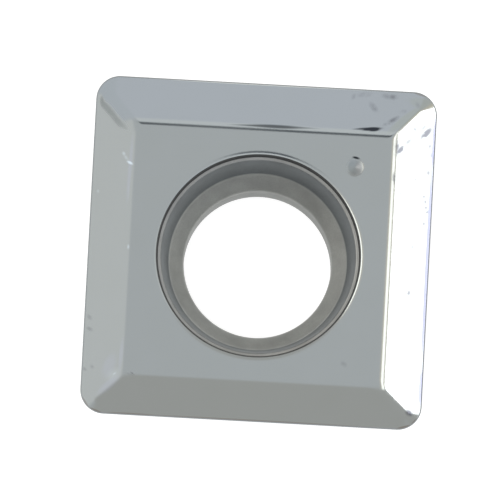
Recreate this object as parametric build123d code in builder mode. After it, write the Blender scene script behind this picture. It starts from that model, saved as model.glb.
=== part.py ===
"""Square positive carbide insert: ground flanks, a recessed rake and a countersunk screw hole.

The seat lies on z = 0 with the screw hole on the Z axis, and the cutting edges are at the top.
Sizes are in millimetres and angles in degrees.
"""
import os
from math import radians, sqrt, tan

from build123d import *

# Body
edge_length = 12.7          # across opposite cutting edges, so also the inscribed circle
thickness = 4.76            # from the seat to the cutting edges
relief_angle = 11.0         # lean of each flank under its cutting edge
corner_radius = 0.9         # nose radius at the cutting edge
seat_edge_break = 0.06      # chamfer round the seat

# Rake recess
edge_land = 0.08            # flat strip left along each cutting edge
rake_angle = 28.5           # fall of each rake face towards the middle
floor_depth = 0.78          # of the flat floor below the cutting edges
valley_radius = 0.85        # blend where a rake face runs into the floor

# Screw hole
rim_diameter = 7.82         # where the rolled rim leaves the floor
rim_radius = 0.5            # blend between the floor and the rolled rim
rim_roll_width = 0.1        # of the rolled rim, from there inwards
rim_roll_fall = 17.0        # slope of the rolled rim
step_width = 0.07           # of the step under the rolled rim, which leans inwards
ledge_depth = 0.28          # of the ledge below the floor
ledge_width = 0.11          # of the ledge inside the step
ledge_fall = 8.0            # slope of the ledge
ledge_radius = 0.08         # rounding of the ledge's inner edge
waist_diameter = 6.66       # where the steep upper wall turns into the screw-head seat
waist_height = 2.26         # of the waist above the seat of the insert
waist_radius = 0.5          # blend at the waist
throat_height = 1.6         # where the screw-head seat runs into the bore
throat_radius = 0.3         # blend between the screw-head seat and the bore
bore_diameter = 5.5         # clearance bore of the fixing screw
bore_chamfer = 0.2          # where the bore opens at the seat of the insert

# Index mark beside one corner: a shallow round dimple in the floor
mark_x = 3.405
mark_y = 3.53
mark_diameter = 0.78
mark_depth = 0.04


def tapered_block(length, radius, depth, taper):
    """A square block hanging from the cutting-edge plane, narrowing downwards on all four sides.

    Its corners are quarter cones of the same slope as the sides. A cone that comes to its point
    above the bottom leaves a plain mitre below.
    """
    narrowing = tan(radians(taper))
    inset = depth * narrowing
    cone_height = min(depth, radius / narrowing)
    corner_spacing = length - 2 * radius
    with BuildPart() as block:
        with Locations((0, 0, thickness)):
            Wedge(
                length,
                depth,
                length,
                inset,
                inset,
                length - inset,
                length - inset,
                rotation=(-90, 0, 0),
                align=(Align.CENTER, Align.MIN, Align.CENTER),
            )
        with BuildSketch(Plane.XY.offset(thickness)):
            with GridLocations(length - radius, length - radius, 2, 2):
                Rectangle(radius, radius)
        extrude(amount=-depth, mode=Mode.SUBTRACT)
        with Locations((0, 0, thickness)):
            with PolarLocations(corner_spacing / sqrt(2), 4, start_angle=45):
                Cone(
                    radius - cone_height * narrowing,
                    radius,
                    cone_height,
                    arc_size=90,
                    rotation=(0, 0, -45),
                    align=(Align.NONE, Align.NONE, Align.MAX),
                )
    return block


body = tapered_block(edge_length, corner_radius, thickness, relief_angle)

recess = tapered_block(edge_length - 2 * edge_land, corner_radius - edge_land, floor_depth, 90 - rake_angle)
with recess:
    floor_edges = recess.faces().sort_by(Axis.Z)[0].edges()
    fillet(floor_edges, valley_radius)

# Air in the screw hole, up past the rim that is blended into the floor afterwards
rim_half = rim_diameter / 2
step_half = rim_half - rim_roll_width
ledge_outer_half = step_half - step_width
ledge_inner_half = ledge_outer_half - ledge_width
floor_height = thickness - floor_depth
step_height = floor_height - rim_roll_width * tan(radians(rim_roll_fall))
ledge_height = floor_height - ledge_depth
with BuildPart() as screw_hole:
    with BuildSketch(Plane.XZ):
        with BuildLine():
            FilletPolyline(
                (0, 0),
                (bore_diameter / 2 + bore_chamfer, 0),
                (bore_diameter / 2, bore_chamfer),
                (bore_diameter / 2, throat_height),
                (waist_diameter / 2, waist_height),
                (ledge_inner_half, ledge_height - ledge_width * tan(radians(ledge_fall))),
                (ledge_outer_half, ledge_height),
                (step_half, step_height),
                (rim_half, floor_height),
                (rim_half, thickness),
                (0, thickness),
                radius=(0, 0, throat_radius, waist_radius, ledge_radius, 0, 0, 0, 0),
            )
            Line((0, thickness), (0, 0))
        make_face()
    revolve(axis=Axis.Z)

with BuildPart() as insert:
    add(body.part)
    chamfer(insert.faces().sort_by(Axis.Z)[0].edges(), seat_edge_break)
    add(recess.part, mode=Mode.SUBTRACT)
    add(screw_hole.part, mode=Mode.SUBTRACT)
    level_faces = insert.faces().filter_by(Plane.XY)
    floor = level_faces.filter_by_position(Axis.Z, seat_edge_break, thickness - edge_land)[0]
    rim = floor.edges().filter_by(GeomType.CIRCLE)
    fillet(rim, rim_radius)
    ball_radius = (mark_diameter**2 / 4 + mark_depth**2) / (2 * mark_depth)
    with Locations((mark_x, mark_y, floor_height - mark_depth + ball_radius)):
        Sphere(ball_radius, mode=Mode.SUBTRACT)

insert.part.label = "insert"

os.makedirs("parts", exist_ok=True)
export_step(insert.part, "parts/insert.step")
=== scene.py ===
"""Square positive carbide insert: polished, recessed rake, sintered screw hole and ground flanks."""
from collections import namedtuple
from math import atan2, cos, hypot, pi, radians, sin, sqrt, tan

import bpy
from bpy.props import FloatProperty, FloatVectorProperty, IntProperty, PointerProperty, StringProperty
from mathutils import Matrix, Vector


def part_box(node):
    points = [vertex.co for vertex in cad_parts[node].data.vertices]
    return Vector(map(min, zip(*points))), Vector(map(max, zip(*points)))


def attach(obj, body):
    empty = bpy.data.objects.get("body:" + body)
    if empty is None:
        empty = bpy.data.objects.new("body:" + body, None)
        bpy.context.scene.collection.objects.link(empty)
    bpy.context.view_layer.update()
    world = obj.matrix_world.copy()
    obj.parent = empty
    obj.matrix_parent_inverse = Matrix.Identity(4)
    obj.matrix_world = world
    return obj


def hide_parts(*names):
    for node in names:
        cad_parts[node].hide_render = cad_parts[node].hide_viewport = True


bl_info = {
    "name": "Carbide insert",
    "version": (1, 0, 0),
    "blender": (4, 5, 0),
    "location": "View3D > Sidebar > Insert",
    "description": "Builds a ground and polished carbide insert and a small studio for it",
    "category": "Add Mesh",
}

MM = 0.001
NODE = "insert"

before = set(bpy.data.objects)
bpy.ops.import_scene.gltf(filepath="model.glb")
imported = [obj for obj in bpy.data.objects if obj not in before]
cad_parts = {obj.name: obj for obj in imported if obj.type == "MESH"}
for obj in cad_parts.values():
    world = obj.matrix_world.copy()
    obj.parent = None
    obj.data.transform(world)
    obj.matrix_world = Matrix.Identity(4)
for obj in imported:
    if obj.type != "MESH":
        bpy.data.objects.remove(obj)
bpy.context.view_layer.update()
cad_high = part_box(NODE)[1]

# Finishes of the surface, in the order of the piece's material slots
POLISHED, SINTERED, GROUND = range(3)

# Share of even spacing in the mesh's rays, whose rest crowd towards the corners
CORNER_CROWDING = 0.15
# Share of the index mark's radius that its rim rolls over, and that its point is blunt for
MARK_ROLL = 0.2
MARK_POINT = 0.15
# Length of the slow waves in the polish
WAVE_LENGTH = 3 * MM
# How much faster the recess's corner radius shrinks inwards than its sides come in
NOSE_NARROWING = 1.3
# How gently a ring's corner radius goes over from the nose's to the mitre's
RADIUS_SOFTENING = 0.03 * MM
# Slope of the rolled rim, and of the ledge under it
ROLL_OFF = radians(17)
LEDGE_FALL = radians(8)
# How far the step's foot lies inside its top
STEP_LEAN = 0.07 * MM
# How far below the floor a point may lie and still count as on the top
TOP_MARGIN = 0.01 * MM
# The overrun past the upper left mitre: its width at the valley and at the cutting edge, and of its end
OVERRUN_WIDTHS = (0.42 * MM, 0.43 * MM)
OVERRUN_END = 0.30 * MM
# Rounding of its deepest line, as a share of its depth
OVERRUN_ROUNDING = 0.12
# Half the length over which it starts at the valley, and how far down the rake it is full at the edge
OVERRUN_START = 0.35 * MM
OVERRUN_AT_EDGE = 0.12 * MM
# How far inside the sharp corner, along the diagonal, it is widest, fades to nothing and is full again
OVERRUN_WIDEST = 0.4 * MM
OVERRUN_FADE = (0.55 * MM, 1.0 * MM)
# Points of the mesh nearer than this are one
SEAM_MERGE = 1e-7

# Marks on the polish, each a stroke: x and y of both ends, half width, all in millimetres, then strength.
# Painted reflection: a warmer tone along the mitre by the back right corner
WARM_REFLECTION_BANDS = (
    (4.6, 4.9, 5.8, 5.86, 0.19, 0.8), (5.4, 6.02, 6.11, 5.89, 0.24, 0.6),
)
# Painted reflection: a cooler, bluish tone along the mitre by the front left corner and along the left
# valley
COOL_REFLECTION_BANDS = (
    (-5.66, -5.56, -4.96, -4.84, 0.22, 0.5), (-5.45, -4.8, -5.2, -4.1, 0.3, 0.4),
    (-4.93, -4.7, -4.87, -3.3, 0.11, 0.45), (-5.0, 1.4, -4.9, 4.6, 0.1, 0.5),
)
# Finger marks along the back edge, and dull spots by the left edge and on the floor; the two spots on the
# index mark's right and lower side are painted shade in its bowl
STAINS_AND_MARK_SHADE = (
    (4.55, 6.13, 4.82, 6.13, 0.14, 1.0), (4.3, 6.17, 4.6, 6.11, 0.14, 0.6),
    (3.87, 5.84, 4.09, 5.63, 0.16, 0.8), (3.19, 6.02, 3.24, 6.12, 0.11, 0.5),
    (3.36, 6.12, 3.88, 6.2, 0.14, 0.5), (4.5, 5.18, 4.94, 5.45, 0.12, 1.3),
    (4.37, 5.12, 4.54, 5.21, 0.09, 0.6), (5.04, 5.64, 5.18, 5.66, 0.12, 0.4),
    (5.58, 5.95, 5.66, 5.84, 0.12, 0.4), (-6.19, -2.7, -6.1, -2.8, 0.11, 0.6),
    (-6.19, -3.17, -6.06, -3.21, 0.12, 0.6), (-6.26, -4.68, -6.2, -4.73, 0.1, 0.5),
    (-5.97, -4.57, -5.93, -4.62, 0.11, 0.4), (3.54, 3.7, 3.58, 3.36, 0.2, 1.3),
    (3.36, 3.28, 3.46, 3.28, 0.17, 0.5), (3.34, -3.86, 3.43, -3.93, 0.15, 0.4),
    (-4.66, -4.67, -4.43, -4.74, 0.06, 0.5), (-4.52, -4.62, -4.38, -4.72, 0.05, 1.0),
)
# Oily smudges and specks on the right rake face
SMUDGES = (
    (4.95, 4.64, 4.96, 4.11, 0.17, 0.9), (4.92, 4.07, 5.24, 4.44, 0.165, 1.35),
    (5.21, 4.44, 5.5, 4.66, 0.17, 0.8), (5.78, 4.6, 6.19, 5.06, 0.2, 1.4),
    (5.75, 4.9, 6.05, 5.28, 0.22, 0.7), (5.52, 5.03, 5.58, 4.98, 0.15, 0.8),
    (4.87, 3.42, 4.91, 2.92, 0.1, 1.01), (6.15, 4.4, 6.16, 4.26, 0.14, 0.9),
    (6.22, 4.1, 6.23, 3.94, 0.14, 0.9), (6.13, 3.42, 6.15, 3.28, 0.14, 0.84),
    (6.02, 2.54, 6.03, 2.42, 0.13, 0.84), (6.07, 2.32, 6.1, 2.2, 0.12, 0.84),
    (6.09, 2.05, 6.14, 2.03, 0.12, 0.84), (6.1, 1.84, 6.26, 1.91, 0.12, 0.84),
    (6.07, 1.46, 6.08, 1.42, 0.14, 0.84), (6.01, 1.77, 6.0, 1.65, 0.14, 0.67),
    (5.13, 2.6, 5.16, 2.6, 0.16, 0.59), (5.66, 3.11, 5.72, 3.11, 0.15, 0.67),
    (5.65, 0.53, 5.77, 0.63, 0.16, 0.67), (5.64, -1.1, 5.65, -1.2, 0.16, 0.92),
    (5.16, 0.11, 5.18, 0.11, 0.12, 0.59), (5.82, -5.6, 5.97, -5.72, 0.16, 1.4),
)
# Painted dark reflections along the back valley, and painted shade in a dark crescent on the index mark's
# back rim
DARK_REFLECTIONS_AND_SHADE = (
    (-1.6, 4.86, 2.2, 4.89, 0.055, 0.8), (-0.9, 4.875, 1.7, 4.88, 0.09, 0.8),
    (3.32, 3.9, 3.55, 3.855, 0.06, 1.1), (3.18, 4.93, 4.46, 5.04, 0.06, 0.9),
    (3.52, 4.935, 4.36, 5.02, 0.085, 1.3), (3.81, 4.95, 4.25, 4.99, 0.1, 1.3),
)
# The rough end of the overrun past the upper left mitre
OVERRUN_SCUFF = (
    (-6.08, 5.34, -5.6, 4.92, 0.19, 1.0), (-5.8, 5.1, -5.09, 4.42, 0.18, 0.75),
)
# Chips and scratches along the left valley and edge, painted as bright glints, and a painted highlight by
# the front left corner
CHIP_GLINTS = (
    (-5.22, 3.55, -5.19, 3.5, 0.1, 0.2), (-5.19, 3.48, -5.04, 3.3, 0.1, 0.14),
    (-5.05, 3.25, -4.87, 3.18, 0.08, 0.7), (-6.09, 2.01, -6.09, 1.97, 0.08, 0.12),
    (-4.85, 0.13, -4.85, -0.01, 0.07, 0.25), (-4.96, 2.6, -4.93, 1.65, 0.05, 0.03),
    (-5.28, -4.9, -5.02, -4.64, 0.27, 0.09), (-5.18, -4.8, -5.04, -4.67, 0.06, 0.24),
)
# Along the cutting edges: a painted blue and lilac colour fringe of the light inside the right one and on
# its land, a painted pale highlight on the back one's land, and dark on the front one's and round the
# corners
BLUE_EDGE_FRINGE = (
    (6.255, -5.4, 6.255, 5.3, 0.075, 1.0), (6.25, -5.6, 6.26, -3.8, 0.07, 0.9),
    (6.28, 3.2, 6.26, 5.6, 0.055, 1.0),
)
PALE_EDGE_HIGHLIGHT = ((-5.9, 6.34, 5.6, 6.34, 0.07, 1.0),)
LILAC_EDGE_FRINGE = (
    (6.34, -5.8, 6.34, 5.8, 0.07, 1.0), (6.33, -5.6, 6.33, -3.8, 0.07, 1.0),
    (6.33, 3.8, 6.33, 5.6, 0.07, 1.0),
)
DARK_EDGES = (
    (-5.9, -6.34, 6.0, -6.34, 0.09, 0.9), (-5.6, -6.33, -3.2, -6.33, 0.085, 0.9),
    (5.45, -6.33, 6.02, -6.16, 0.07, 1.0), (6.0, -6.17, 6.27, -5.85, 0.07, 1.0),
    (-5.5, -6.33, -6.02, -6.16, 0.07, 0.9), (-6.0, -6.17, -6.3, -5.75, 0.07, 0.8),
    (5.4, 6.34, 6.0, 6.19, 0.055, 0.8), (6.0, 6.19, 6.27, 5.92, 0.055, 0.8),
)
# The index mark is left as sintered
MARK_FINISH = ((3.4, 3.53, 3.41, 3.53, 0.37, 1.0),)
# Tones up the hole: from and to which height in millimetres one gives way to the next, and its name.
# The wall's foot and the step get painted shade, the ledge a painted highlight where it faces the light
HOLE_ZONES = (
    (1.42, 1.56, "screw_seat"), (2.24, 2.34, "wall_foot_shade"), (2.4, 3.5, "wall"), (3.6, 3.68, "ledge"),
    (3.7, 3.73, "step"),
)
# The side of the hole painted lighter as if lit from there, in degrees from the right, and by how much
PAINTED_LIGHT_SIDE = 215
PAINTED_LIGHT_SHARE = 0.17

# The camera's sensor, in millimetres
SENSOR_WIDTH = 36
# The floor is a disc, just low enough that the seat and it do not lie in one plane
FLOOR_RADIUS = 1.5
FLOOR_SIDES = 96
FLOOR_DROP = 0.02 * MM
# Share of light that the floor throws back, and the same and its glow where it is seen
BOARD_SHADE = 0.8
SEEN_SHADE = 0.35
SEEN_GLOW = 0.85
# From the seat to a softbox, in metres
LIGHT_DISTANCE = 0.7
# Watts for one square metre of area light at a radiance of 1
AREA_LIGHT_WATTS = 4.0
# Softboxes: name, nearest and furthest lean off the vertical in degrees, radiance, colour
SOFTBOXES = (
    ("softbox_high", 24.0, 36.5, 1.6, "FFFFFA"),
    ("softbox_low", 44.5, 70.0, 3.0, "FFFFFF"),
)
# Where along Y the softboxes start and end, in metres
SOFTBOX_ENDS = (-0.15, 0.29)
# Surroundings: lean off the vertical, turn from the right, full radius, outer radius, strength, colour
SIDES = (
    (47, 172, 24, 34, 1.24, "FFF2E1"),
    (60, 20, 26, 38, 1.22, "FFFDFA"),
    (26, -90, 9, 14, 1.25, "FFFFFF"),
    (62, -90, 24, 32, 1.17, "F8F9FF"),
    (55, -40, 27, 35, 1.12, "F8FAFF"),
    (50, 90, 20, 36, 0.83, "FFFBF5"),
    (57, 135, 14, 26, 0.83, "FFFBF5"),
)
# They fall off to this share towards the horizon, between these two rises of the line of sight
HORIZON = 0.75
HORIZON_RISES = (0.1, 0.3)
# The dark card that stands in the metal for the camera
CARD_DISTANCE = 0.6
LENS_HALF = 0.058
LENS_COLOUR = "777B80"

# How a length is shown
LENGTH = {"subtype": "DISTANCE", "unit": "LENGTH", "precision": 5}

# Kinds of node that recur. Map Range takes a value, the ends of its range and those of the new range. The
# pair that a Mix node mixes is 2 and 3 for numbers, 4 and 5 for vectors and 6 and 7 for colours
MATHS = "ShaderNodeMath"
VECTORS = "ShaderNodeVectorMath"
RANGE = "ShaderNodeMapRange"
NOISE = "ShaderNodeTexNoise"
MIX = "ShaderNodeMix"
EASED = {"interpolation_type": "SMOOTHSTEP"}


# ---------- sizes and colours

class InsertSizes(bpy.types.PropertyGroup):
    """Sizes of the insert's section, its corners and its index mark"""

    relief: FloatProperty(
        name="Relief angle", description="Lean of each flank under its cutting edge",
        default=radians(11), subtype="ANGLE")
    nose: FloatProperty(
        name="Nose radius", description="Corner radius at the cutting edge", default=0.9 * MM, **LENGTH)
    mitre: FloatProperty(
        name="Mitre blend", description="Radius of the soft valley where two rake faces meet",
        default=0.1 * MM, **LENGTH)
    soft_mitre: FloatProperty(
        name="Softer mitre", description="Radius of the mitres at the two front corners",
        default=0.32 * MM, **LENGTH)
    edge_break: FloatProperty(
        name="Seat edge break", description="Chamfer round the seat face", default=0.06 * MM, **LENGTH)
    hone: FloatProperty(
        name="Edge hone", description="Rounding of the cutting edge itself", default=0.012 * MM, **LENGTH)
    land: FloatProperty(
        name="Edge land", description="Flat strip along each cutting edge", default=0.05 * MM, **LENGTH)
    rake: FloatProperty(
        name="Rake angle", description="Fall of each rake face towards the middle",
        default=radians(28.2), subtype="ANGLE")
    floor_depth: FloatProperty(
        name="Floor depth", description="Depth of the flat floor below the cutting edges",
        default=0.79 * MM, **LENGTH)
    valley: FloatProperty(
        name="Valley radius", description="Blend between a rake face and the floor",
        default=0.85 * MM, **LENGTH)
    rim: FloatProperty(
        name="Rim diameter", description="Across the rolled rim's middle, where it leaves the floor",
        default=7.82 * MM, **LENGTH)
    rim_round: FloatProperty(
        name="Rim rounding", description="Radius that polishing leaves on the rim",
        default=0.6 * MM, **LENGTH)
    step: FloatProperty(
        name="Step diameter", description="Across the step just inside the rim",
        default=7.62 * MM, **LENGTH)
    ledge: FloatProperty(
        name="Ledge diameter", description="Across the inner side of the ledge under the step",
        default=7.25 * MM, **LENGTH)
    ledge_depth: FloatProperty(
        name="Ledge depth", description="Depth of the ledge below the floor", default=0.28 * MM, **LENGTH)
    waist: FloatProperty(
        name="Waist diameter", description="Across the hole, where the steep wall ends",
        default=6.66 * MM, **LENGTH)
    waist_height: FloatProperty(
        name="Waist height", description="Height of the waist above the seat", default=2.26 * MM, **LENGTH)
    throat_height: FloatProperty(
        name="Throat height", description="Height where the screw-head seat meets the bore",
        default=1.6 * MM, **LENGTH)
    bore: FloatProperty(
        name="Bore diameter", description="Clearance bore of the fixing screw", default=5.5 * MM, **LENGTH)
    bore_chamfer: FloatProperty(
        name="Bore chamfer", description="Chamfer where the bore opens at the seat",
        default=0.2 * MM, **LENGTH)
    mark_place: FloatVectorProperty(
        name="Index mark", description="Middle of the index mark beside one corner",
        default=(3.405 * MM, 3.53 * MM, 0), subtype="TRANSLATION", unit="LENGTH", precision=5)
    mark_radius: FloatProperty(
        name="Mark radius", description="Half the width of the index mark", default=0.39 * MM, **LENGTH)
    mark_depth: FloatProperty(
        name="Mark depth", description="Depth of the index mark's cone down to its sharp point",
        default=0.12 * MM, **LENGTH)
    waviness: FloatProperty(
        name="Waviness", description="Height of the slow waves that hand polishing leaves",
        default=0.0015 * MM, subtype="DISTANCE", unit="LENGTH", precision=6)
    overrun: FloatProperty(
        name="Overrun", description="Depth that the wheel cut past one mitre", default=0.105 * MM, **LENGTH)
    rays: IntProperty(
        name="Rays a quarter", description="Mesh columns in each quarter of a turn", default=104, min=8)


class InsertColours(bpy.types.PropertyGroup):
    """Colours of the finishes, of the marks on them and of the backdrop, as sRGB hex values"""

    polished: StringProperty(
        name="Polished", description="Lapped and polished rake and floor", default="9FA5A7")
    polished_warm: StringProperty(
        name="Polished, warm", description="Slightly warmer clouds in the polish", default="9DA3A4")
    screw_seat: StringProperty(
        name="Screw seat", description="Dull lower part of the hole, rubbed by screw heads",
        default="A2A4A1")
    bore: StringProperty(
        name="Bore", description="Bore below the screw seat, out of reach of the polish", default="858885")
    wall_foot_shade: StringProperty(
        # Painted shade at the foot of the steep wall
        name="Hole wall, low", description="Darker foot of the steep wall", default="5A6062")
    wall: StringProperty(
        name="Hole wall", description="Steep wall of the hole as it left the furnace", default="676D6F")
    # Painted highlight on the ledge, which faces up to the light
    ledge: StringProperty(
        name="Ledge", description="Narrow ledge under the rim", default="8E908F")
    step: StringProperty(
        # Painted shade on the step under the rim
        name="Step", description="Dark skin on the step under the rim", default="474848")
    ground: StringProperty(
        name="Ground", description="Flanks and seat off the grinding wheel", default="979C9F")
    ground_dark: StringProperty(
        name="Ground, dark", description="Bottoms of the grinding lines", default="84898C")
    # Finger marks and spots, and painted shade inside the index mark
    stain_and_mark_shade: StringProperty(
        name="Stain", description="Dull finger marks and spots on the polish", default="82868A")
    smudge: StringProperty(
        name="Smudge", description="Oily smudges and specks on the polish", default="5A5D64")
    scuff: StringProperty(
        name="Scuff", description="Rough end of the overrun past a mitre", default="A4AAAB")
    # Painted dark reflections along the back valley, and painted shade on the index mark's rim
    drag: StringProperty(
        name="Drag lines", description="Dark lines dragged along the back valley", default="33373C")
    mark: StringProperty(
        name="Index mark", description="Index mark's surface, as it left the furnace", default="8E9598")
    # Painted reflection along one mitre
    warm_reflection: StringProperty(
        name="Warm band", description="Warmer tone along one mitre", default="9CA29C")
    # Painted reflection along another mitre and the left valley
    cool_reflection: StringProperty(
        name="Cool band", description="Cooler tone along another mitre and the left valley",
        default="A3A9B4")
    # Painted colour fringe of the light inside the right cutting edge
    blue_edge_fringe: StringProperty(
        name="Blue edge", description="Bluish film inside the right cutting edge", default="74788E")
    # Painted highlight on the back cutting edge's land
    pale_edge_highlight: StringProperty(
        name="Pale edge", description="Land of the back cutting edge, scattered pale", default="C6CAC6")
    # Painted colour fringe of the light on the right cutting edge's land
    lilac_edge_fringe: StringProperty(
        name="Lilac edge", description="Land of the right cutting edge, with a lilac sheen",
        default="A9AEC8")
    dark_edge: StringProperty(
        name="Dark edge", description="Land of the front cutting edge and of the corners", default="8C8B88")
    # Painted glints on chips, and a painted highlight
    chip_glint: StringProperty(
        name="Chips", description="Fresh bright chips in the polish", default="E2F2FF")
    backdrop: StringProperty(
        name="Backdrop", description="Floor and surroundings", default="FFFFFF")


class InsertStudio(bpy.types.PropertyGroup):
    """Where the camera stands and what it frames"""

    distance: FloatProperty(
        name="Distance", description="From the camera to the cutting edges", default=0.8, **LENGTH)
    frame_width: FloatProperty(
        name="Frame width", description="Width of the picture at the cutting edges",
        default=18.58 * MM, **LENGTH)
    tilt: FloatProperty(
        name="Tilt", description="Lean of the camera off the vertical, towards the front",
        default=radians(8.18), subtype="ANGLE")
    side_lean: FloatProperty(
        name="Side lean", description="Lean of the camera off the vertical, towards the left",
        default=radians(0.42), subtype="ANGLE")
    roll: FloatProperty(
        name="Roll", description="Clockwise turn of the insert in the picture",
        default=radians(3.058), subtype="ANGLE")
    insert_right: FloatProperty(
        name="Insert right", description="How far right of the middle the insert's middle lies",
        default=0.325 * MM, **LENGTH)
    insert_down: FloatProperty(
        name="Insert down", description="How far below the middle the insert's middle lies",
        default=0.098 * MM, **LENGTH)


# ---------- helpers

def linear(hex_colour, strength=1.0):
    """An sRGB hex colour, at a strength, as a linear RGBA tuple."""
    channels = [int(hex_colour[i:i + 2], 16) / 255 for i in (0, 2, 4)]
    light = [c / 12.92 if c <= 0.04045 else ((c + 0.055) / 1.055) ** 2.4 for c in channels]
    return tuple(c * strength for c in light) + (1.0,)


def add_node(tree, kind, inputs=(), **settings):
    """Adds a node with its settings.

    Its inputs, in their order or by name or number, take a value, a socket or a node's first output.
    """
    node = tree.nodes.new(kind)
    for name, value in settings.items():
        setattr(node, name, value)
    for key, value in inputs.items() if isinstance(inputs, dict) else enumerate(inputs):
        if isinstance(value, bpy.types.Node):
            value = value.outputs[0]
        if isinstance(value, bpy.types.NodeSocket):
            tree.links.new(value, node.inputs[key])
        else:
            node.inputs[key].default_value = value
    return node


# ---------- the insert's section

# A corner's place and rounding, the steps round its arc and along the leg after it, the shape that the ring
# there has, and the finish of the strips up to the next corner
Corner = namedtuple("Corner", "half height radius arc_steps leg_steps shape finish")


def rounded_section(corners, ring_radius):
    """Rounds a closed section's corners and divides its legs.

    Each point is (half width, height, corner radius of the ring there, finish of the strip that follows).
    ring_radius gives a ring's corner radius from its shape and half width.
    """
    arcs = []
    for i, corner in enumerate(corners):
        here = Vector((corner.half, corner.height))
        back = (Vector(corners[i - 1][:2]) - here).normalized()
        ahead = (Vector(corners[(i + 1) % len(corners)][:2]) - here).normalized()
        half_angle = back.angle(ahead) / 2
        centre = here + (back + ahead).normalized() * corner.radius / sin(half_angle)
        first = here + back * corner.radius / tan(half_angle) - centre
        turn = first.angle_signed(here + ahead * corner.radius / tan(half_angle) - centre)
        arcs.append([
            centre + Matrix.Rotation(-turn * k / corner.arc_steps, 2) @ first
            for k in range(corner.arc_steps + 1)
        ])
    points = []
    for i, corner in enumerate(corners):
        following = (i + 1) % len(corners)
        for at in arcs[i]:
            points.append((at.x, at.y, ring_radius(corner.shape, at.x), corner.finish))
        start, end = arcs[i][-1], arcs[following][0]
        for k in range(1, corner.leg_steps):
            share = k / corner.leg_steps
            at = start.lerp(end, share)
            radius = (
                ring_radius(corner.shape, at.x) * (1 - share)
                + ring_radius(corners[following].shape, at.x) * share
            )
            points.append((at.x, at.y, radius, corner.finish))
    return points


def section_mesh(sizes):
    """A chain of points from the seat up the flank, over the rake and down the screw hole."""
    half, top = cad_high.x, cad_high.z
    floor = top - sizes.floor_depth
    lean = tan(sizes.relief)
    rake_run = sizes.floor_depth / tan(sizes.rake)
    seat_half = half - top * lean
    bore, waist = sizes.bore / 2, sizes.waist / 2
    step_top = floor - (sizes.rim - sizes.step) / 2 * tan(ROLL_OFF)
    ledge_outer = sizes.step / 2 - STEP_LEAN
    ledge_low = floor - sizes.ledge_depth - (ledge_outer - sizes.ledge / 2) * tan(LEDGE_FALL)

    def ring_radius(shape, ring_half):
        if shape == "round":
            return ring_half
        narrowing = NOSE_NARROWING if shape == "recess" else 1.0
        nose = sizes.nose - (half - ring_half) * narrowing
        return (nose + sizes.mitre) / 2 + hypot((nose - sizes.mitre) / 2, RADIUS_SOFTENING)

    corners = [
        Corner(seat_half + sizes.edge_break * lean, sizes.edge_break, 0.03 * MM, 4, 6, "square", GROUND),
        Corner(half, top, sizes.hone, 6, 3, "square", GROUND),
        Corner(half - sizes.land, top, 0.03 * MM, 4, 22, "recess", POLISHED),
        Corner(half - sizes.land - rake_run, floor, sizes.valley, 18, 74, "recess", POLISHED),
        Corner(sizes.rim / 2, floor, sizes.rim_round, 10, 1, "round", POLISHED),
        Corner(sizes.step / 2, step_top, 0.02 * MM, 3, 2, "round", SINTERED),
        Corner(ledge_outer, floor - sizes.ledge_depth, 0.02 * MM, 3, 2, "round", SINTERED),
        Corner(sizes.ledge / 2, ledge_low, 0.08 * MM, 5, 5, "round", SINTERED),
        Corner(waist, sizes.waist_height, 0.5 * MM, 9, 3, "round", SINTERED),
        Corner(bore, sizes.throat_height, 0.3 * MM, 7, 3, "round", SINTERED),
        Corner(bore, sizes.bore_chamfer, 0.05 * MM, 3, 2, "round", SINTERED),
        Corner(bore + sizes.bore_chamfer, 0, 0.05 * MM, 3, 4, "round", GROUND),
        Corner(seat_half - sizes.edge_break, 0, 0.03 * MM, 3, 2, "square", GROUND),
    ]
    points = rounded_section(corners, ring_radius)
    mesh = bpy.data.meshes.new("section")
    chain = [(i, i + 1) for i in range(len(points) - 1)]
    mesh.from_pydata([(x, 0, z) for x, z, _, _ in points], chain, [])
    radii = mesh.attributes.new("ring_radius", "FLOAT", "POINT")
    radii.data.foreach_set("value", [radius for _, _, radius, _ in points])
    finishes = mesh.attributes.new("finish", "INT", "POINT")
    finishes.data.foreach_set("value", [finish for _, _, _, finish in points])
    return mesh


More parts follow.
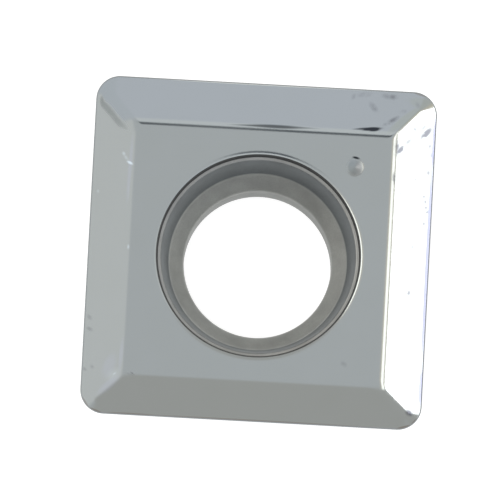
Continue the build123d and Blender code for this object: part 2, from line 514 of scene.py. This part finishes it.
def ring_tree():
    """Geometry nodes that carry the section round the screw hole as rings that go from round to square."""
    tree = bpy.data.node_groups.new("insert_rings", "GeometryNodeTree")
    tree.is_modifier = True
    for kind, names in (
        ("Geometry", ("Section",)),
        ("Int", ("Rays a quarter",)),
        ("Float", ("Floor height", "Softer mitre")),
        ("Vector", ("Mark place",)),
        ("Float", ("Mark radius", "Mark depth", "Waviness", "Overrun", "Valley half")),
        ("Material", ("Polished", "Sintered", "Ground")),
    ):
        for name in names:
            tree.interface.new_socket(name, in_out="INPUT", socket_type="NodeSocket" + kind)
    tree.interface.new_socket("Insert", in_out="OUTPUT", socket_type="NodeSocketGeometry")
    given = add_node(tree, "NodeGroupInput").outputs
    chain = given["Section"]

    # A grid with one column for each ray and one row for each point of the section, both closed
    count = add_node(tree, "GeometryNodeAttributeDomainSize", [chain], component="MESH")
    rows = count.outputs["Point Count"]
    columns = add_node(tree, MATHS, [given["Rays a quarter"], 4.0], operation="MULTIPLY")
    grid = add_node(tree, "GeometryNodeMeshGrid", {
        "Size X": columns,
        "Size Y": rows,
        "Vertices X": add_node(tree, MATHS, [columns, 1.0], operation="ADD"),
        "Vertices Y": add_node(tree, MATHS, [rows, 1.0], operation="ADD"),
    })
    here = add_node(tree, "GeometryNodeInputPosition")
    place = add_node(tree, "ShaderNodeSeparateXYZ", [here]).outputs
    column = add_node(tree, MATHS, [columns, 0.5, place["X"]], operation="MULTIPLY_ADD")
    row = add_node(tree, MATHS, [rows, 0.5, place["Y"]], operation="MULTIPLY_ADD")

    # A strip's finish is that of the section point it starts from
    strip = add_node(tree, MATHS, [row], operation="FLOOR")
    finish_at = add_node(tree, "GeometryNodeInputNamedAttribute", ["finish"], data_type="INT")
    finish = add_node(
        tree, "GeometryNodeSampleIndex", {"Geometry": chain, "Value": finish_at, "Index": strip},
        data_type="INT", domain="POINT")
    marked = add_node(
        tree, "GeometryNodeStoreNamedAttribute", {"Geometry": grid, "Name": "finish", "Value": finish},
        data_type="INT", domain="FACE")

    # Half width, height and corner radius of the ring at this row
    whole_row = add_node(tree, MATHS, [row], operation="ROUND")
    closed_row = add_node(tree, MATHS, [whole_row, rows], operation="FLOORED_MODULO")
    section_at = add_node(
        tree, "GeometryNodeSampleIndex", {"Geometry": chain, "Value": here, "Index": closed_row},
        data_type="FLOAT_VECTOR", domain="POINT")
    section = add_node(tree, "ShaderNodeSeparateXYZ", [section_at]).outputs
    radius_at = add_node(tree, "GeometryNodeInputNamedAttribute", ["ring_radius"], data_type="FLOAT")
    even_radius = add_node(
        tree, "GeometryNodeSampleIndex", {"Geometry": chain, "Value": radius_at, "Index": closed_row},
        data_type="FLOAT", domain="POINT")

    # Direction of the ray at this column: rays crowd towards the corners
    whole_column = add_node(tree, MATHS, [column], operation="ROUND")
    quarters = add_node(tree, MATHS, [whole_column, given["Rays a quarter"]], operation="DIVIDE")
    quarter = add_node(tree, MATHS, [quarters], operation="FLOOR")
    through = add_node(tree, MATHS, [quarters], operation="FRACT")
    aside = add_node(tree, MATHS, [through, 2.0, -1.0], operation="MULTIPLY_ADD")
    cubed = add_node(tree, MATHS, [aside, 3.0], operation="POWER")
    spread = add_node(tree, MATHS, [aside, CORNER_CROWDING], operation="MULTIPLY")
    bent = add_node(tree, MATHS, [cubed, 1 - CORNER_CROWDING, spread], operation="MULTIPLY_ADD")
    share = add_node(tree, MATHS, [bent, 0.5, 0.5], operation="MULTIPLY_ADD")
    turn = add_node(tree, MATHS, [quarter, share], operation="ADD")
    angle = add_node(tree, MATHS, [turn, pi / 2], operation="MULTIPLY")
    across, along = (add_node(tree, MATHS, [angle], operation=kind) for kind in ("COSINE", "SINE"))

    # The mitres at the ends of the front rake face, in quarters 2 and 3 of 0 to 3, are the softer ones
    just_below = add_node(tree, MATHS, [given["Floor height"], TOP_MARGIN], operation="SUBTRACT")
    on_top = add_node(tree, MATHS, [section["Z"], just_below], operation="GREATER_THAN")
    in_front = add_node(tree, MATHS, [quarter, 1.5], operation="GREATER_THAN")
    softer = add_node(tree, MATHS, [in_front, on_top], operation="MULTIPLY")
    at_least = add_node(tree, MATHS, [softer, given["Softer mitre"]], operation="MULTIPLY")
    ring_radius = add_node(tree, MATHS, [even_radius, at_least], operation="MAXIMUM")

    # Where that ray meets the ring, on its straight side or on its corner's arc
    wide, deep = (add_node(tree, MATHS, [part], operation="ABSOLUTE") for part in (across, along))
    greater = add_node(tree, MATHS, [wide, deep], operation="MAXIMUM")
    lesser = add_node(tree, MATHS, [wide, deep], operation="MINIMUM")
    to_side = add_node(tree, MATHS, [section["X"], greater], operation="DIVIDE")
    straight = add_node(tree, MATHS, [section["X"], ring_radius], operation="SUBTRACT")
    both = add_node(tree, MATHS, [wide, deep], operation="ADD")
    apart = add_node(tree, MATHS, [greater, lesser], operation="SUBTRACT")
    miss = add_node(tree, MATHS, [straight, apart], operation="MULTIPLY")
    miss_squared = add_node(tree, MATHS, [miss, miss], operation="MULTIPLY")
    radius_squared = add_node(tree, MATHS, [ring_radius, ring_radius], operation="MULTIPLY")
    left = add_node(tree, MATHS, [radius_squared, miss_squared], operation="SUBTRACT")
    clear = add_node(tree, MATHS, [left, 0.0], operation="MAXIMUM")
    chord = add_node(tree, MATHS, [clear], operation="SQRT")
    to_arc = add_node(tree, MATHS, [straight, both, chord], operation="MULTIPLY_ADD")
    up_side = add_node(tree, MATHS, [to_side, lesser], operation="MULTIPLY")
    on_arc = add_node(
        tree, "FunctionNodeCompare", [up_side, straight], data_type="FLOAT", operation="GREATER_THAN")
    reach = add_node(
        tree, "GeometryNodeSwitch", {"Switch": on_arc, "False": to_side, "True": to_arc}, input_type="FLOAT")
    x, y = (add_node(tree, MATHS, [reach, part], operation="MULTIPLY") for part in (across, along))

    # The index mark: a cone pressed into the floor, its rim rolled and its point blunt
    level = add_node(tree, "ShaderNodeCombineXYZ", [x, y])
    from_mark = add_node(tree, VECTORS, [level, given["Mark place"]], operation="DISTANCE").outputs["Value"]
    mark_share = add_node(tree, MATHS, [from_mark, given["Mark radius"]], operation="DIVIDE")
    mark_square = add_node(tree, MATHS, [mark_share, mark_share], operation="MULTIPLY")
    blunted = add_node(tree, MATHS, [mark_square, MARK_POINT * MARK_POINT], operation="ADD")
    blunt = add_node(tree, MATHS, [blunted], operation="SQRT")
    inside = add_node(tree, MATHS, [1.0, blunt], operation="SUBTRACT")
    within = add_node(tree, MATHS, [inside, 0.0], operation="MAXIMUM")
    squared = add_node(tree, MATHS, [within, within], operation="MULTIPLY")
    rolled = add_node(tree, MATHS, [within, MARK_ROLL], operation="ADD")
    bowl = add_node(tree, MATHS, [squared, rolled], operation="DIVIDE")
    drop = add_node(tree, MATHS, [bowl, given["Mark depth"]], operation="MULTIPLY")

    # Slow waves in the polish, on the rake and the floor alone
    surface = add_node(tree, "ShaderNodeCombineXYZ", [x, y, section["Z"]])
    waves = add_node(
        tree, NOISE, {"Vector": surface, "Scale": 1 / WAVE_LENGTH, "Detail": 1.0}, noise_dimensions="3D")
    wave = add_node(tree, MATHS, [waves, 1.0], operation="SUBTRACT")
    rise = add_node(tree, MATHS, [wave, given["Waviness"]], operation="MULTIPLY")
    worn = add_node(tree, MATHS, [rise, drop], operation="SUBTRACT")

    # The overrun: a long easy slope away from the upper left mitre, then a short steep one back up
    corner = cad_high.x * sqrt(2)
    aslant, outward = (
        add_node(tree, VECTORS, [level, (-sqrt(0.5), side, 0)], operation="DOT_PRODUCT").outputs["Value"]
        for side in (-sqrt(0.5), sqrt(0.5))
    )
    inner = add_node(tree, MATHS, [given["Valley half"], sqrt(2)], operation="MULTIPLY")
    width = add_node(tree, RANGE, [outward, inner, corner - OVERRUN_WIDEST, *OVERRUN_WIDTHS])
    easy = add_node(tree, RANGE, [aslant, 0.0, width])
    far_side = add_node(tree, MATHS, [width, OVERRUN_END], operation="ADD")
    steep = add_node(tree, RANGE, [aslant, far_side, width])
    trough = add_node(tree, MATHS, [easy, steep, OVERRUN_ROUNDING], operation="SMOOTH_MIN")
    before = add_node(tree, MATHS, [inner, OVERRUN_START], operation="SUBTRACT")
    after = add_node(tree, MATHS, [inner, OVERRUN_START], operation="ADD")
    started = add_node(tree, RANGE, [outward, before, after], **EASED)
    gone, back = (corner - inset for inset in OVERRUN_FADE)
    ended = add_node(tree, RANGE, [outward, gone, back], **EASED)
    length = add_node(tree, MATHS, [started, ended], operation="MULTIPLY")
    overrun = add_node(tree, MATHS, [trough, length], operation="MULTIPLY")
    cut = add_node(tree, MATHS, [overrun, given["Overrun"]], operation="MULTIPLY")
    at_edge = add_node(
        tree, RANGE, [section["Z"], cad_high.z, cad_high.z - OVERRUN_AT_EDGE], **EASED)
    cut_inside = add_node(tree, MATHS, [cut, at_edge], operation="MULTIPLY")
    change = add_node(tree, MATHS, [worn, cut_inside], operation="SUBTRACT")
    z = add_node(tree, MATHS, [change, on_top, section["Z"]], operation="MULTIPLY_ADD")
    put = add_node(tree, "ShaderNodeCombineXYZ", [x, y, z])

    set_place = add_node(tree, "GeometryNodeSetPosition", {"Geometry": marked, "Position": put})
    merged = add_node(tree, "GeometryNodeMergeByDistance", {"Geometry": set_place, "Distance": SEAM_MERGE})
    smooth = add_node(tree, "GeometryNodeSetShadeSmooth", [merged])
    shown = add_node(tree, "GeometryNodeRealizeInstances", [smooth])
    own_finish = add_node(tree, "GeometryNodeInputNamedAttribute", ["finish"], data_type="INT")
    shown = add_node(tree, "GeometryNodeSetMaterial", {"Geometry": shown, "Material": given["Polished"]})
    for number, name in ((SINTERED, "Sintered"), (GROUND, "Ground")):
        chosen = add_node(
            tree, "FunctionNodeCompare", {2: own_finish, 3: number}, data_type="INT", operation="EQUAL")
        shown = add_node(tree, "GeometryNodeSetMaterial", {
            "Geometry": shown, "Selection": chosen, "Material": given[name]})
    add_node(tree, "NodeGroupOutput", [shown])
    return tree


# ---------- materials

def strokes(tree, place, listed, core):
    """The strongest of several strokes, each a slim ellipse: full within its core share and 0 at its rim."""
    flat = add_node(tree, VECTORS, [place, (1.0, 1.0, 0.0)], operation="MULTIPLY")
    total = 0.0
    for x, y, end_x, end_y, half_width, strength in listed:
        reach = hypot(end_x - x, end_y - y) / 2 + half_width
        own = add_node(tree, "ShaderNodeMapping", {
            "Vector": flat,
            "Location": ((x + end_x) / 2, (y + end_y) / 2, 0.0),
            "Rotation": (0.0, 0.0, atan2(end_y - y, end_x - x)),
            "Scale": (reach, half_width, 1.0),
        }, vector_type="TEXTURE")
        # 1 in the middle and 0 at the rim
        inward = add_node(tree, "ShaderNodeTexGradient", [own], gradient_type="SPHERICAL").outputs["Fac"]
        stroke = add_node(tree, RANGE, [inward, 0.0, 1 - core, 0.0, strength], **EASED)
        total = add_node(tree, MATHS, [stroke, total], operation="MAXIMUM")
    return total


def new_material(name):
    """A material, and its empty node tree."""
    material = bpy.data.materials.new(name)
    material.use_nodes = True
    material.node_tree.nodes.clear()
    return material, material.node_tree


def place_in_mm(tree):
    """The place on the object, in millimetres."""
    own = add_node(tree, "ShaderNodeTexCoord").outputs["Object"]
    return add_node(tree, VECTORS, {0: own, 3: 1 / MM}, operation="SCALE")


def dullness(tree, noise, low, high):
    """Roughness that follows a noise, whose values lie mostly between 0.3 and 0.7."""
    return add_node(tree, RANGE, [noise, 0.3, 0.7, low, high])


def metal_shader(tree, colour, metallic, roughness, relief, depth):
    """The shader that ends a metal's nodes, with a relief of the given depth."""
    bump = add_node(tree, "ShaderNodeBump", {"Height": relief, "Strength": 1.0, "Distance": depth})
    shader = add_node(tree, "ShaderNodeBsdfPrincipled", {
        "Base Color": colour, "Metallic": metallic, "Roughness": roughness, "Normal": bump})
    add_node(tree, "ShaderNodeOutputMaterial", [shader])


def polished_carbide(colours):
    """Cemented carbide, lapped and polished: a cool grey mirror with faint streaks along the lapping."""
    material, tree = new_material("polished_carbide")
    place = place_in_mm(tree)

    # Lapping streaks run along X, about 0.15 mm apart, which is coarser than the real ones so that they show
    stretched = add_node(tree, "ShaderNodeMapping", {"Vector": place, "Scale": (0.25, 7.0, 1.0)})
    streaks = add_node(tree, NOISE, {"Vector": stretched, "Scale": 1.0, "Detail": 3.0})
    # Clouds a little over 1 mm across
    clouds = add_node(tree, NOISE, {"Vector": place, "Scale": 0.8, "Detail": 2.0})
    # What fingers leave breaks up as it dries, into flecks about 0.3 mm across
    flecks = add_node(tree, NOISE, {"Vector": place, "Scale": 3.5, "Detail": 4.0, "Roughness": 0.6})
    broken = add_node(tree, RANGE, [flecks, 0.2, 0.52])

    def dried(listed):
        return add_node(tree, MATHS, [strokes(tree, place, listed, 0.0), broken], operation="MULTIPLY")

    colour = add_node(
        tree, MIX, {"Factor": clouds, 6: linear(colours.polished), 7: linear(colours.polished_warm)},
        data_type="RGBA").outputs[2]
    roughness = dullness(tree, streaks, 0.12, 0.17)
    # All strokes are made before any is mixed in, because in another order Cycles finds the shader too big
    for share, tone, dull in (
        # Painted reflection: a warmer tone along one mitre
        (strokes(tree, place, WARM_REFLECTION_BANDS, 0.5), colours.warm_reflection, 0.15),
        # Painted reflection: a cooler tone along another mitre and the left valley
        (strokes(tree, place, COOL_REFLECTION_BANDS, 0.3), colours.cool_reflection, 0.15),
        (strokes(tree, place, MARK_FINISH, 0.5), colours.mark, 0.45),
        # Finger marks and dull spots, and painted shade inside the index mark
        (dried(STAINS_AND_MARK_SHADE), colours.stain_and_mark_shade, 0.4),
        (dried(SMUDGES), colours.smudge, 0.22),
        (strokes(tree, place, OVERRUN_SCUFF, 0.5), colours.scuff, 0.5),
        # Painted dark reflections along the back valley, and painted shade on the index mark's back rim
        (strokes(tree, place, DARK_REFLECTIONS_AND_SHADE, 0.3), colours.drag, 0.3),
        # Painted colour fringe of the light inside the right cutting edge
        (strokes(tree, place, BLUE_EDGE_FRINGE, 0.5), colours.blue_edge_fringe, 0.25),
        # Painted highlight on the back cutting edge's land
        (strokes(tree, place, PALE_EDGE_HIGHLIGHT, 0.6), colours.pale_edge_highlight, 0.5),
        # Painted colour fringe of the light on the right cutting edge's land
        (strokes(tree, place, LILAC_EDGE_FRINGE, 0.6), colours.lilac_edge_fringe, 0.5),
        (strokes(tree, place, DARK_EDGES, 0.6), colours.dark_edge, 0.15),
        # Chips painted as bright glints, and a painted highlight by the front left corner
        (strokes(tree, place, CHIP_GLINTS, 0.0), colours.chip_glint, 0.45),
    ):
        share = add_node(tree, MATHS, [share, 1.0], operation="MINIMUM")
        colour = add_node(
            tree, MIX, {"Factor": share, 6: colour, 7: linear(tone)}, data_type="RGBA").outputs[2]
        roughness = add_node(tree, MIX, {"Factor": share, 2: roughness, 3: dull}, data_type="FLOAT")
    # Streaks a tenth of a micrometre deep
    metal_shader(tree, colour, 1.0, roughness, streaks, 0.00012 * MM)
    return material


def sintered_carbide(colours):
    """Cemented carbide as sintered: a fine-grained dull grey, with painted shade and highlight up the hole
    and one side painted lighter.
    """
    material, tree = new_material("sintered_carbide")
    place = place_in_mm(tree)
    # The real grain is a few micrometres; 0.06 mm is the finest that shows
    grain = add_node(tree, NOISE, {"Vector": place, "Scale": 16.0, "Detail": 4.0, "Roughness": 0.7})
    height = add_node(tree, "ShaderNodeSeparateXYZ", [place]).outputs["Z"]
    tone = linear(colours.bore)
    # The wall's foot and the step are painted darker as shade, and the ledge lighter as a painted highlight
    for low, high, zone in HOLE_ZONES:
        share = add_node(tree, RANGE, [height, low, high])
        tone = add_node(
            tree, MIX, {"Factor": share, 6: tone, 7: linear(getattr(colours, zone))},
            data_type="RGBA").outputs[2]
    # Patches a little under 1 mm across
    clouds = add_node(tree, NOISE, {"Vector": place, "Scale": 1.2, "Detail": 2.0})
    both = add_node(tree, MATHS, [grain, clouds], operation="MULTIPLY")
    shade = add_node(tree, RANGE, [both, 0.12, 0.4, 0.86, 1.12])
    grained = add_node(tree, VECTORS, {0: tone, 3: shade}, operation="SCALE")
    # The hole's tone is painted lighter on one side and darker on the other, as light falls there
    level = add_node(tree, VECTORS, [place, (1.0, 1.0, 0.0)], operation="MULTIPLY")
    outwards = add_node(tree, VECTORS, [level], operation="NORMALIZE")
    painted_light_way = (cos(radians(PAINTED_LIGHT_SIDE)), sin(radians(PAINTED_LIGHT_SIDE)), 0.0)
    side = add_node(tree, VECTORS, [outwards, painted_light_way], operation="DOT_PRODUCT").outputs["Value"]
    painted_light = add_node(tree, MATHS, [side, PAINTED_LIGHT_SHARE, 1.0], operation="MULTIPLY_ADD")
    colour = add_node(tree, VECTORS, {0: grained, 3: painted_light}, operation="SCALE")
    metal_shader(tree, colour, 0.85, dullness(tree, grain, 0.42, 0.55), grain, 0.004 * MM)
    return material


def ground_carbide(colours):
    """Cemented carbide off the wheel: satin grey with fine parallel lines, level on the flanks."""
    material, tree = new_material("ground_carbide")
    place = place_in_mm(tree)
    height = add_node(tree, "ShaderNodeSeparateXYZ", [place]).outputs["Z"]
    # Wheel lines about 0.05 mm apart, along each flank and along X over the seat
    flank_lines = add_node(tree, "ShaderNodeMapping", {"Vector": place, "Scale": (0.4, 0.4, 22.0)})
    seat_lines = add_node(tree, "ShaderNodeMapping", {"Vector": place, "Scale": (0.4, 22.0, 1.0)})
    on_flank = add_node(tree, RANGE, [height, 0.01, 0.03])
    lines_at = add_node(tree, MIX, {"Factor": on_flank, 4: seat_lines, 5: flank_lines}, data_type="VECTOR")
    lines = add_node(tree, NOISE, {"Vector": lines_at.outputs[1], "Scale": 1.0, "Detail": 3.0})
    colour = add_node(
        tree, MIX, {"Factor": lines, 6: linear(colours.ground_dark), 7: linear(colours.ground)},
        data_type="RGBA").outputs[2]
    metal_shader(tree, colour, 1.0, dullness(tree, lines, 0.24, 0.36), lines, 0.0012 * MM)
    return material


def white_board(colours):
    """Matt white board. Seen by the eye or in the metal it is backlit white, with the part's soft shadow."""
    material, tree = new_material("white_board")
    board = add_node(tree, "ShaderNodeBsdfDiffuse", [linear(colours.backdrop, BOARD_SHADE)])
    shaded = add_node(tree, "ShaderNodeBsdfDiffuse", [linear(colours.backdrop, SEEN_SHADE)])
    glow = add_node(tree, "ShaderNodeEmission", [linear(colours.backdrop), SEEN_GLOW])
    lit = add_node(tree, "ShaderNodeAddShader", [shaded, glow])
    path = add_node(tree, "ShaderNodeLightPath").outputs
    seen = add_node(tree, MATHS, [path["Is Camera Ray"], path["Is Glossy Ray"]], operation="MAXIMUM")
    seen_through = add_node(tree, MATHS, [seen, path["Is Transmission Ray"]], operation="MAXIMUM")
    top = add_node(tree, "ShaderNodeMixShader", [seen_through, board, lit])
    # Clear from underneath, so that the seat can be looked at
    clear = add_node(tree, "ShaderNodeBsdfTransparent")
    under = add_node(tree, "ShaderNodeNewGeometry").outputs["Backfacing"]
    surface = add_node(tree, "ShaderNodeMixShader", [under, top, clear])
    add_node(tree, "ShaderNodeOutputMaterial", [surface])
    return material


# ---------- operators

class INSERT_OT_body(bpy.types.Operator):
    """Build the insert from its section, with its three finishes"""

    bl_idname = "insert.body"
    bl_label = "Carbide insert"

    def execute(self, context):
        sizes, colours = context.scene.insert_sizes, context.scene.insert_colours
        body = bpy.data.objects.new("insert_rings", section_mesh(sizes))
        context.scene.collection.objects.link(body)
        tree = ring_tree()
        modifier = body.modifiers.new("Rings", "NODES")
        modifier.node_group = tree
        values = {
            "Rays a quarter": sizes.rays,
            "Floor height": cad_high.z - sizes.floor_depth,
            "Softer mitre": sizes.soft_mitre,
            "Mark place": tuple(sizes.mark_place),
            "Mark radius": sizes.mark_radius,
            "Mark depth": sizes.mark_depth,
            "Waviness": sizes.waviness,
            "Overrun": sizes.overrun,
            "Valley half": cad_high.x - sizes.land - sizes.floor_depth / tan(sizes.rake),
            "Polished": polished_carbide(colours),
            "Sintered": sintered_carbide(colours),
            "Ground": ground_carbide(colours),
        }
        for socket in tree.interface.items_tree:
            if socket.name in values:
                modifier[socket.identifier] = values[socket.name]
        evaluated = body.evaluated_get(context.evaluated_depsgraph_get())
        mesh = bpy.data.meshes.new_from_object(evaluated)
        # The section has no material, which leaves an empty slot in front
        mesh.materials.pop(index=0)
        section = body.data
        body.modifiers.clear()
        body.data = mesh
        body.name = "carbide_insert"
        bpy.data.meshes.remove(section)
        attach(body, "root")
        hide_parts(NODE)
        return {"FINISHED"}


# ---------- studio

def towards(lean, turn):
    """The direction that leans off the vertical by an angle, turned from the right, both in degrees."""
    lean, turn = radians(lean), radians(turn)
    return Vector((sin(lean) * cos(turn), sin(lean) * sin(turn), cos(lean)))


def surroundings(tree):
    """White surroundings, pure white to the eye. The metal sees each side a little brighter or darker."""
    tree.nodes.clear()
    way = add_node(tree, "ShaderNodeTexCoord").outputs["Generated"]
    tone = linear("FFFFFF")
    for lean, turn, full, outer, strength, colour in SIDES:
        side = towards(lean, turn)
        along = add_node(tree, VECTORS, [way, side], operation="DOT_PRODUCT").outputs["Value"]
        share = add_node(tree, RANGE, [along, cos(radians(outer)), cos(radians(full))], **EASED)
        tone = add_node(
            tree, MIX, {"Factor": share, 6: tone, 7: linear(colour, strength)}, data_type="RGBA").outputs[2]
    height = add_node(tree, "ShaderNodeSeparateXYZ", [way]).outputs["Z"]
    fall = add_node(tree, RANGE, [height, *HORIZON_RISES, HORIZON], **EASED)
    seen = add_node(tree, "ShaderNodeBackground", [linear("FFFFFF")])
    lights = add_node(tree, "ShaderNodeBackground", [tone, fall])
    eye = add_node(tree, "ShaderNodeLightPath").outputs["Is Camera Ray"]
    mixed = add_node(tree, "ShaderNodeMixShader", [eye, lights, seen])
    add_node(tree, "ShaderNodeOutputWorld", [mixed])


def soft_light(scene, name, near, far, radiance, colour):
    """An even softbox on the left that faces the insert, from one lean off the vertical to another."""
    spread = radians(far - near) / 2
    away = towards((near + far) / 2, 180)
    light = bpy.data.lights.new(name, "AREA")
    light.shape = "RECTANGLE"
    light.size = 2 * LIGHT_DISTANCE * tan(spread)
    light.size_y = SOFTBOX_ENDS[1] - SOFTBOX_ENDS[0]
    light.color = linear(colour)[:3]
    light.energy = radiance * light.size * light.size_y * AREA_LIGHT_WATTS
    box = bpy.data.objects.new(name, light)
    along = Vector((0, 1, 0))
    turned = Matrix((along.cross(away), along, away)).transposed().to_4x4()
    middle = away * LIGHT_DISTANCE + along * sum(SOFTBOX_ENDS) / 2
    box.matrix_world = Matrix.Translation(middle) @ turned
    box.visible_camera = False
    scene.collection.objects.link(box)


def lens_card(scene, toward):
    """A dark square card that shows in the metal alone, where the camera would be."""
    along = Vector((1, 0, 0)) * LENS_HALF
    across = toward.cross(along).normalized() * LENS_HALF
    middle = toward * CARD_DISTANCE
    corners = [middle + along * x + across * y for x, y in ((-1, -1), (1, -1), (1, 1), (-1, 1))]
    mesh = bpy.data.meshes.new("lens_card")
    mesh.from_pydata(corners, [], [(0, 1, 2, 3)])
    material, tree = new_material("lens_card")
    dark = add_node(tree, "ShaderNodeEmission", [linear(LENS_COLOUR)])
    add_node(tree, "ShaderNodeOutputMaterial", [dark])
    mesh.materials.append(material)
    card = bpy.data.objects.new("lens_card", mesh)
    scene.collection.objects.link(card)
    card.visible_camera = False
    card.visible_diffuse = False
    card.visible_shadow = False


class INSERT_OT_studio(bpy.types.Operator):
    """Set up the white floor, the soft lights, what the metal mirrors and the camera"""

    bl_idname = "insert.studio"
    bl_label = "Studio"

    def execute(self, context):
        scene, studio = context.scene, context.scene.insert_studio
        bpy.ops.mesh.primitive_circle_add(vertices=FLOOR_SIDES, radius=FLOOR_RADIUS, fill_type="NGON")
        floor = context.object
        floor.name = "floor"
        floor.location.z = -FLOOR_DROP
        floor.data.materials.append(white_board(scene.insert_colours))

        scene.world = bpy.data.worlds.new("studio")
        scene.world.use_nodes = True
        surroundings(scene.world.node_tree)
        for softbox in SOFTBOXES:
            soft_light(scene, *softbox)

        back = Vector((-sin(studio.side_lean), -sin(studio.tilt), 0))
        back.z = sqrt(1 - back.length_squared)
        right = Vector((-sin(studio.roll), cos(studio.roll), 0)).cross(back).normalized()
        up = back.cross(right)
        data = bpy.data.cameras.new("camera")
        data.sensor_width = SENSOR_WIDTH
        data.lens = SENSOR_WIDTH * studio.distance / studio.frame_width
        camera = bpy.data.objects.new("camera", data)
        scene.collection.objects.link(camera)
        aim = Vector((0, 0, cad_high.z)) - right * studio.insert_right + up * studio.insert_down
        turned = Matrix((right, up, back)).transposed().to_4x4()
        camera.matrix_world = Matrix.Translation(aim + back * studio.distance) @ turned
        scene.camera = camera

        lens_card(scene, back)
        scene.view_settings.view_transform = "Standard"
        return {"FINISHED"}


# ---------- panel and registration

class INSERT_PT_panel(bpy.types.Panel):
    """Sizes and colours of the insert, and the two builders"""

    bl_idname = "INSERT_PT_panel"
    bl_label = "Carbide insert"
    bl_space_type = "VIEW_3D"
    bl_region_type = "UI"
    bl_category = "Insert"

    def draw(self, context):
        for group in (context.scene.insert_sizes, context.scene.insert_colours, context.scene.insert_studio):
            column = self.layout.column()
            for name in group.bl_rna.properties.keys():
                if name not in {"rna_type", "name"}:
                    column.prop(group, name)
        self.layout.operator(INSERT_OT_body.bl_idname)
        self.layout.operator(INSERT_OT_studio.bl_idname)


CLASSES = (InsertSizes, InsertColours, InsertStudio, INSERT_OT_body, INSERT_OT_studio, INSERT_PT_panel)


def register():
    for cls in CLASSES:
        bpy.utils.register_class(cls)
    bpy.types.Scene.insert_sizes = PointerProperty(type=InsertSizes)
    bpy.types.Scene.insert_colours = PointerProperty(type=InsertColours)
    bpy.types.Scene.insert_studio = PointerProperty(type=InsertStudio)


def unregister():
    del bpy.types.Scene.insert_studio
    del bpy.types.Scene.insert_colours
    del bpy.types.Scene.insert_sizes
    for cls in reversed(CLASSES):
        bpy.utils.unregister_class(cls)


def main():
    register()
    bpy.ops.insert.body()
    bpy.ops.insert.studio()


if __name__ == "__main__":
    main()
